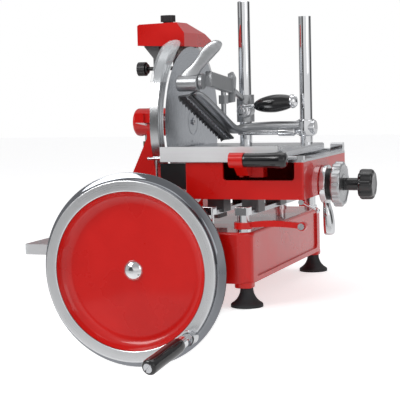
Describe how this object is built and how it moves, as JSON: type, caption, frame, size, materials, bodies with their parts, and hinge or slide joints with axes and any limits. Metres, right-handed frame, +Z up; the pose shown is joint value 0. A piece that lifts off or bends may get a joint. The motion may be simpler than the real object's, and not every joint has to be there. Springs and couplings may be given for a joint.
{
  "type": "hand crank meat slicer",
  "caption": "Hand cranked slicing machine: a flywheel turns a round blade through bevel gears while the meat table slides past it on rails.",
  "frame": {"origin": "middle of the four threaded feet, on the plane that they stand on", "axes": "+Z up; -Y towards the operator and the flywheel; +X towards the meat table and feed knob"},
  "size_m": [0.699, 0.702, 0.688],
  "materials": {
    "red_paint": "gloss enamel on cast metal",
    "chrome": "polished chrome plate",
    "satin_aluminium": "fine brushed",
    "steel": "ground steel",
    "dark_steel": "blackened",
    "bronze": "machined bronze",
    "rubber": "matte black",
    "black_gloss": "moulded gloss black",
    "black_matte": "moulded black",
    "clear_plastic": "clear acrylic sheet",
    "stone": "grinding grit",
    "tray_enamel": "light grey enamel"
  },
  "bodies": {
    "machine": {"base_casting": "red_paint", "rubber_feet": "rubber", "foot_studs": "steel", "bushes": "bronze", "blade_stand": "red_paint", "housing_dome": "red_paint", "blade_guard": "satin_aluminium", "clear_guard": "clear_plastic", "guard_stay": "steel", "sharpener_cover": "red_paint", "sharpener_bracket": "dark_steel", "fixed_fasteners": "steel", "rails": "steel", "rail_posts": "chrome", "trip_arm": "red_paint", "receiving_tray": "tray_enamel", "drive_chain": "dark_steel"},
    "flywheel": {"flywheel_disc": "red_paint", "flywheel_rim": "chrome", "wheel_cap": "chrome", "flywheel_shaft": "steel", "crank_socket": "chrome"},
    "crank": {"crank_pin": "chrome", "grip_screw": "steel"},
    "crank_handle": {"crank_grip": "black_gloss"},
    "cross_drive": {"cross_shaft": "steel"},
    "stand_drive": {"stand_shaft": "steel"},
    "cutter": {"blade_shaft": "steel", "blade": "steel", "blade_bolt": "steel"},
    "chain_drive": {"drive_sprocket": "steel"},
    "chain_idler": {"idler_sprocket": "steel"},
    "stone_wheel": {"grinding_stone": "stone"},
    "stone_pusher": {"stone_plunger": "black_matte", "truing_stone": "stone"},
    "cover_screw": {"cover_knob": "black_matte"},
    "carriage": {"carriage_box": "red_paint", "top_plate": "satin_aluminium", "slide_shoes": "bronze", "chain_yoke": "dark_steel", "carriage_shield": "black_matte", "guide_rods": "chrome", "dial_drum": "black_matte"},
    "dial": {"dial_wheel": "satin_aluminium"},
    "screw": {"feed_screw": "steel", "feed_knob": "black_gloss"},
    "ratchet_arm": {"feed_arm": "chrome"},
    "lock": {"lock_lever": "chrome"},
    "table": {"meat_table": "satin_aluminium", "table_apron": "satin_aluminium", "feed_nut": "bronze", "columns": "chrome"},
    "release": {"release_lever": "red_paint", "table_grip": "black_gloss"},
    "press": {"press_arm": "satin_aluminium", "gripper_plate": "dark_steel", "upper_arm": "satin_aluminium"},
    "press_handle": {"hand_lever": "satin_aluminium"},
    "clamp": {"clamp_lever": "chrome", "clamp_grip": "black_gloss"}
  },
  "joints": [
    {"name": "flywheel_turn", "type": "hinge", "parent": "machine", "child": "flywheel", "pos_m": [-0.055, -0.2, 0.068], "axis": [0, 1, 0], "continuous": true},
    {"name": "crank_fold", "type": "hinge", "parent": "flywheel", "child": "crank", "pos_m": [0.06541, -0.317, -0.04627], "axis": [0.7254, 0, -0.6884], "range_deg": [-19.5, 60]},
    {"name": "grip_turn", "type": "hinge", "parent": "crank", "child": "crank_handle", "pos_m": [0.05162, -0.37356, -0.0608], "axis": [-0.2298, -0.9426, -0.2421], "continuous": true},
    {"name": "cross_turn", "type": "hinge", "parent": "machine", "child": "cross_drive", "pos_m": [-0.09, -0.015, 0.068], "axis": [1, 0, 0], "continuous": true},
    {"name": "stand_turn", "type": "hinge", "parent": "machine", "child": "stand_drive", "pos_m": [-0.128, -0.015, 0.2], "axis": [0, 0, 1], "continuous": true},
    {"name": "blade_turn", "type": "hinge", "parent": "machine", "child": "cutter", "pos_m": [-0.05, -0.015, 0.334], "axis": [1, 0, 0], "continuous": true},
    {"name": "sprocket_turn", "type": "hinge", "parent": "machine", "child": "chain_drive", "pos_m": [-0.055, -0.13, 0.12], "axis": [0, 0, 1], "continuous": true},
    {"name": "idler_turn", "type": "hinge", "parent": "machine", "child": "chain_idler", "pos_m": [-0.055, 0.1, 0.144], "axis": [0, 0, 1], "continuous": true},
    {"name": "stone_turn", "type": "hinge", "parent": "machine", "child": "stone_wheel", "pos_m": [-0.044, 0.012, 0.498], "axis": [1, 0, 0], "continuous": true},
    {"name": "stone_feed", "type": "slide", "parent": "machine", "child": "stone_pusher", "axis": [1, 0, 0], "range_m": [0, 0.006], "stiffness_N_per_m": 400},
    {"name": "cover_screw_turn", "type": "hinge", "parent": "machine", "child": "cover_screw", "pos_m": [-0.073, -0.025, 0.54], "axis": [0, 0, 1], "range_deg": [0, 720]},
    {"name": "carriage_slide", "type": "slide", "parent": "machine", "child": "carriage", "axis": [0, 1, 0], "range_m": [-0.025, 0.22]},
    {"name": "table_slide", "type": "slide", "parent": "carriage", "child": "table", "axis": [1, 0, 0], "range_m": [0, 0.06]},
    {"name": "screw_turn", "type": "hinge", "parent": "carriage", "child": "screw", "pos_m": [0.3, -0.079, 0.214], "axis": [1, 0, 0], "range_deg": [0, 4320]},
    {"name": "dial_turn", "type": "hinge", "parent": "carriage", "child": "dial", "pos_m": [0.29, -0.079, 0.214], "axis": [1, 0, 0], "range_deg": [0, 300]},
    {"name": "ratchet_swing", "type": "hinge", "parent": "carriage", "child": "ratchet_arm", "pos_m": [0.265, -0.079, 0.214], "axis": [1, 0, 0], "range_deg": [-20, 20]},
    {"name": "lock_swing", "type": "hinge", "parent": "carriage", "child": "lock", "pos_m": [0.238, -0.16, 0.187], "axis": [0, 1, 0], "range_deg": [-15, 15]},
    {"name": "release_swing", "type": "hinge", "parent": "table", "child": "release", "pos_m": [0.15, -0.192, 0.246], "axis": [1, 0, 0], "range_deg": [0, 8]},
    {"name": "press_slide", "type": "slide", "parent": "table", "child": "press", "axis": [0, 0, 1], "range_m": [-0.004, 0.15]},
    {"name": "handle_turn", "type": "hinge", "parent": "press", "child": "press_handle", "pos_m": [0.005, -0.125, 0.411], "axis": [1, 0, 0], "range_deg": [0, 60]},
    {"name": "clamp_turn", "type": "hinge", "parent": "press", "child": "clamp", "pos_m": [0.066, 0.022, 0.353], "axis": [0, -1, 0], "range_deg": [0, 45]}
  ],
  "couplings": [
    {"joint": "cross_turn", "follows": "flywheel_turn", "ratio": -2},
    {"joint": "stand_turn", "follows": "flywheel_turn", "ratio": 2},
    {"joint": "blade_turn", "follows": "flywheel_turn", "ratio": 2},
    {"joint": "sprocket_turn", "follows": "flywheel_turn", "ratio": -1},
    {"joint": "idler_turn", "follows": "flywheel_turn", "ratio": -1},
    {"joint": "screw_turn", "follows": "table_slide", "rad_per_m": 1256.6}
  ]
}
